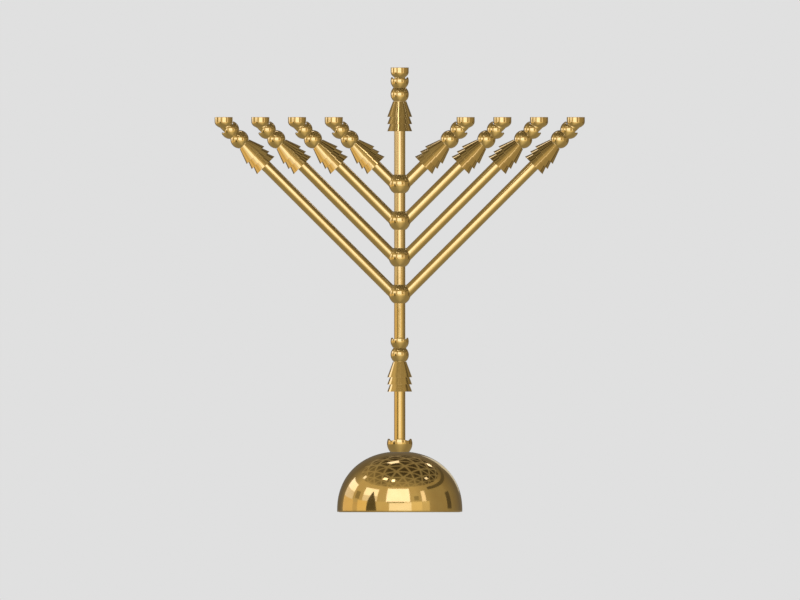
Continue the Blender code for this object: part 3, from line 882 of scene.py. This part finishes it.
def truss(tree, spot):
    """1 on the beams of a truss in three directions, and 0 between them."""
    inputs = {0: spot, 1: (-TRUSS_SHIFT, -TRUSS_SHIFT, 0)}
    shifted = node(tree, "ShaderNodeVectorMath", inputs, operation="ADD").outputs["Vector"]
    beams = 0.0
    for degrees in TRUSS_ANGLES:
        angle = math.radians(degrees)
        along = length_along(tree, shifted, (math.cos(angle), math.sin(angle), 0))
        pitches = calculate(tree, "DIVIDE", along, TRUSS_PITCH)
        from_beam = calculate(tree, "PINGPONG", pitches, 0.5)
        beam = spread(tree, from_beam, (BEAM_HALF + BEAM_FADE, BEAM_HALF - BEAM_FADE), (0.0, 1.0))
        beams = calculate(tree, "MAXIMUM", beams, beam)
    return beams


def build_ceiling():
    """Dark ceiling behind the truss, with painted light near the windows and painted shade to the right."""
    finish, tree, glow = glow_material("ceiling")
    spot = own_place(tree)
    beams = truss(tree, spot)
    split = node(tree, "ShaderNodeSeparateXYZ", {"Vector": spot}).outputs
    left_fade = (-1.1 * CEILING_HEIGHT, -0.2 * CEILING_HEIGHT)
    front_fade = (-1.0 * CEILING_HEIGHT, -0.3 * CEILING_HEIGHT)
    right_fade = (0.1 * CEILING_HEIGHT, 0.9 * CEILING_HEIGHT)
    from_left = spread(tree, split["X"], left_fade, (0.0, 1.0))
    from_front = spread(tree, split["Y"], front_fade, (0.0, 1.0))
    inside = calculate(tree, "MINIMUM", from_left, from_front)
    hole = blend(tree, inside, NEAR_HOLE, DARK_HOLE)
    rail = blend(tree, inside, NEAR_BEAM, FAR_BEAM)
    tree.links.new(blend(tree, beams, hole, rail), glow.inputs["Color"])
    level = spread(tree, split["X"], right_fade, (1.0, RIGHT_CEILING_LEVEL))
    tree.links.new(level, glow.inputs["Strength"])
    left = -1.35 * CEILING_HEIGHT
    right = 1.2 * CEILING_HEIGHT
    front = -1.15 * CEILING_HEIGHT
    back = 1.35 * CEILING_HEIGHT
    corners = [(left, front, 0), (right, front, 0), (right, back, 0), (left, back, 0)]
    made = add_sheet("ceiling", corners, [(0, 1, 2, 3)], finish)
    made.location.z = EYE_HEIGHT + CEILING_HEIGHT


def flat_disc(name, radius, height, finish):
    mesh = bpy.data.meshes.new(name)
    shape = bmesh.new()
    bmesh.ops.create_circle(shape, cap_ends=True, segments=SIDES, radius=radius)
    shape.to_mesh(mesh)
    shape.free()
    mesh.materials.append(finish)
    made = bpy.data.objects.new(name, mesh)
    made.location.z = height
    bpy.context.scene.collection.objects.link(made)
    return made


def light_pool(tree, spot, azimuth, narrow, wide, near, low, high):
    """Light on the mirrored floor towards a window: it fades from narrow to wide degrees on both sides of the
    azimuth, and grows from low to high between the distance near and the pool's reach."""
    along = length_along(tree, spot, level_direction(azimuth))
    across = length_along(tree, spot, level_direction(azimuth + 90))
    aside = calculate(tree, "ABSOLUTE", calculate(tree, "ARCTAN2", across, along))
    within = spread(tree, aside, (math.radians(narrow), math.radians(wide)), (1.0, 0.0))
    level = spread(tree, along, (near, POOL_REACH), (low, high))
    return calculate(tree, "MULTIPLY", within, level)


def build_mirrored_floor():
    """The floor as the brass shows it: dim, with painted pools of light towards the windows."""
    finish, tree, glow = glow_material("mirrored_floor", MIRRORED_FLOOR)
    spot = own_place(tree)
    front = light_pool(tree, spot, azimuth=7, narrow=8, wide=60, near=0.0, low=0.12, high=0.50)
    left = light_pool(tree, spot, azimuth=-97, narrow=20, wide=35, near=0.4, low=0.0, high=0.14)
    level = calculate(tree, "ADD", calculate(tree, "ADD", front, left), MIRRORED_FLOOR_LEVEL)
    tree.links.new(level, glow.inputs["Strength"])
    only_in_brass(flat_disc("mirrored_floor", MIRRORED_FLOOR_RADIUS, MIRRORED_FLOOR_HEIGHT, finish))


def build_floor():
    """Pale floor without gloss."""
    made, tree, shader = new_material("pale_floor")
    grain = noise(tree, fineness=12, detail=4.0)
    tree.links.new(blend(tree, grain, FLOOR_DULL, FLOOR_PALE), shader.inputs["Base Color"])
    shader.inputs["Roughness"].default_value = 1.0
    shader.inputs["Specular IOR Level"].default_value = 0.0
    flat_disc("floor", FLOOR_RADIUS, FLOOR_HEIGHT, made)


def build_world():
    """Pale for the camera and in the brass, and an even soft light for the rest."""
    world = bpy.data.worlds.new("studio")
    world.use_nodes = True
    bpy.context.scene.world = world
    tree = world.node_tree
    tree.nodes.clear()
    ray = node(tree, "ShaderNodeLightPath").outputs
    seen = calculate(tree, "MAXIMUM", ray["Is Camera Ray"], ray["Is Glossy Ray"])
    seen = calculate(tree, "MAXIMUM", seen, ray["Is Transmission Ray"])
    level = spread(tree, seen, (0.0, 1.0), (AMBIENT, BACKGROUND))
    back = node(tree, "ShaderNodeBackground", {"Color": (1, 1, 1, 1), "Strength": level})
    node(tree, "ShaderNodeOutputWorld", {"Surface": back.outputs["Background"]})


# Camera: the photograph's frame is 800 by 600 pixels

IMAGE_WIDTH = 800
METRES_PER_PIXEL = 0.001132
CAMERA_X = 0.0003
CAMERA_Z = 0.2402
CAMERA_BACK = 2.5


def build_camera():
    camera = bpy.data.cameras.new("camera")
    camera.type = "ORTHO"
    camera.ortho_scale = IMAGE_WIDTH * METRES_PER_PIXEL
    holder = bpy.data.objects.new("camera", camera)
    holder.location = (CAMERA_X, -CAMERA_BACK, CAMERA_Z)
    holder.rotation_euler = (math.pi / 2, 0, 0)
    bpy.context.scene.collection.objects.link(holder)
    bpy.context.scene.camera = holder


def main():
    spun = brass("spun_brass", LATHE_LINES, smooth=0.055, dull=0.105)
    turned = brass("turned_brass", LATHE_LINES, smooth=0.09, dull=0.14)
    drawn = brass("drawn_brass", DRAWN_LINES, smooth=0.11, dull=0.16)
    goblets = turn("goblets", goblets_outline, SIDES, turned)
    knop_flower = turn("knop_flower", knop_flower_outline, SIDES, turned)
    dress_base(spun, cast_iron(), zinc_steel(), green_felt())
    dress_stem(turned, drawn, goblets, knop_flower)
    dress_arms(turned, drawn, goblets, knop_flower)
    build_lamps()
    build_windows()
    build_panels()
    build_walls()
    build_ceiling()
    build_flag()
    build_mirrored_floor()
    build_floor()
    build_world()
    build_camera()
    bpy.context.scene.view_settings.view_transform = "Standard"
    bpy.context.view_layer.update()


main()
